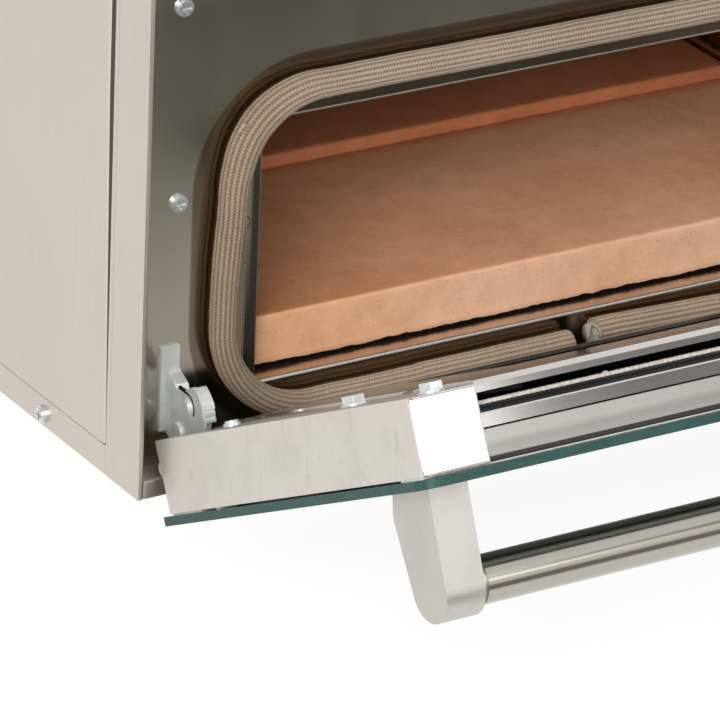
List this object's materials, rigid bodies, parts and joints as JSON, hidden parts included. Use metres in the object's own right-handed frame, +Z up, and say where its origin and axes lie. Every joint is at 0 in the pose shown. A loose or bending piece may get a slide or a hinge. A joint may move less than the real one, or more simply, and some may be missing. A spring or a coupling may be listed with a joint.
{
  "type": "electric pizza oven",
  "caption": "Countertop electric pizza oven in stainless steel with a bottom-hinged glazed door, tube handle, rope gasket, baking stones and a control panel.",
  "frame": {"origin": "middle of the bounding box's underside, on the counter, with the door at its open stop", "axes": "+X to the oven's right, +Y to its back, +Z up"},
  "size_m": [0.5698, 0.6744, 0.275],
  "materials": {
    "satin_steel": "satin",
    "plain_steel": "plain",
    "mirror_steel": "polished",
    "door_steel": "brushed",
    "tube_steel": "satin",
    "rope": "woven glass fibre",
    "fibre": "mineral fibre",
    "terracotta": "unglazed",
    "element": "heat darkened",
    "copper": "plain",
    "black_plastic": "matte",
    "red_plastic": "gloss",
    "lamp": "clear",
    "porcelain": "glazed",
    "rubber": "matte",
    "zinc": "zinc plated",
    "spacer": "matte",
    "glass": "clear"
  },
  "bodies": {
    "casing": {"side_left": "satin_steel", "side_right": "satin_steel", "top_cover": "satin_steel", "frame_left": "satin_steel", "frame_sill": "satin_steel", "frame_header": "satin_steel", "frame_mid": "satin_steel", "control_panel": "satin_steel", "base_pan": "plain_steel", "back_panel": "plain_steel", "bay_wall": "plain_steel", "chamber_floor": "plain_steel", "mouth_ledge": "plain_steel", "chamber_left": "plain_steel", "chamber_right": "plain_steel", "chamber_back": "plain_steel", "chamber_ceiling": "plain_steel", "stone_posts": "plain_steel", "element_clips": "plain_steel", "mouth_plate": "mirror_steel", "gasket": "rope", "blanket_sides": "fibre", "blanket_back": "fibre", "blanket_top": "fibre", "blanket_bottom": "fibre", "stone_front": "terracotta", "stone_rear": "terracotta", "element_top": "element", "element_bottom": "element", "sensor_bulbs": "copper", "thermostats": "black_plastic", "switch_body": "black_plastic", "cable_gland": "black_plastic", "pilot_lamps": "lamp", "terminal_block": "porcelain", "feet": "rubber", "plate_screws": "zinc", "side_screws": "zinc", "hinge_arms": "zinc", "lock_levers": "zinc"},
    "door": {"door_stile_left": "door_steel", "door_stile_right": "door_steel", "door_pan": "mirror_steel", "door_plate": "mirror_steel", "inner_glass": "glass", "glass_clips": "plain_steel", "door_liner": "mirror_steel", "door_fibre": "fibre", "door_rail": "mirror_steel", "door_glass": "glass", "glass_spacers": "spacer", "handle_brackets": "door_steel", "handle_tube": "tube_steel", "handle_screws": "zinc", "hinge_channels": "zinc", "hinge_pins": "zinc", "door_bolts": "zinc"},
    "knob_upper": {"knob_top": "black_plastic"},
    "knob_lower": {"knob_bottom": "black_plastic"},
    "rocker": {"switch_rocker": "red_plastic"}
  },
  "joints": [
    {"name": "door_hinge", "type": "hinge", "parent": "casing", "child": "door", "pos_m": [-0.0439, -0.13203, 0.0379], "axis": [-1, 0, 0], "range_deg": [0, 62.5]},
    {"name": "knob_upper_turn", "type": "hinge", "parent": "casing", "child": "knob_upper", "pos_m": [0.2386, -0.13083, 0.201], "axis": [0, 1, 0], "range_deg": [0, 270]},
    {"name": "knob_lower_turn", "type": "hinge", "parent": "casing", "child": "knob_lower", "pos_m": [0.2386, -0.13083, 0.133], "axis": [0, 1, 0], "range_deg": [0, 270]},
    {"name": "switch_tilt", "type": "hinge", "parent": "casing", "child": "rocker", "pos_m": [0.2386, -0.12933, 0.071], "axis": [1, 0, 0], "range_deg": [0, 18]}
  ]
}
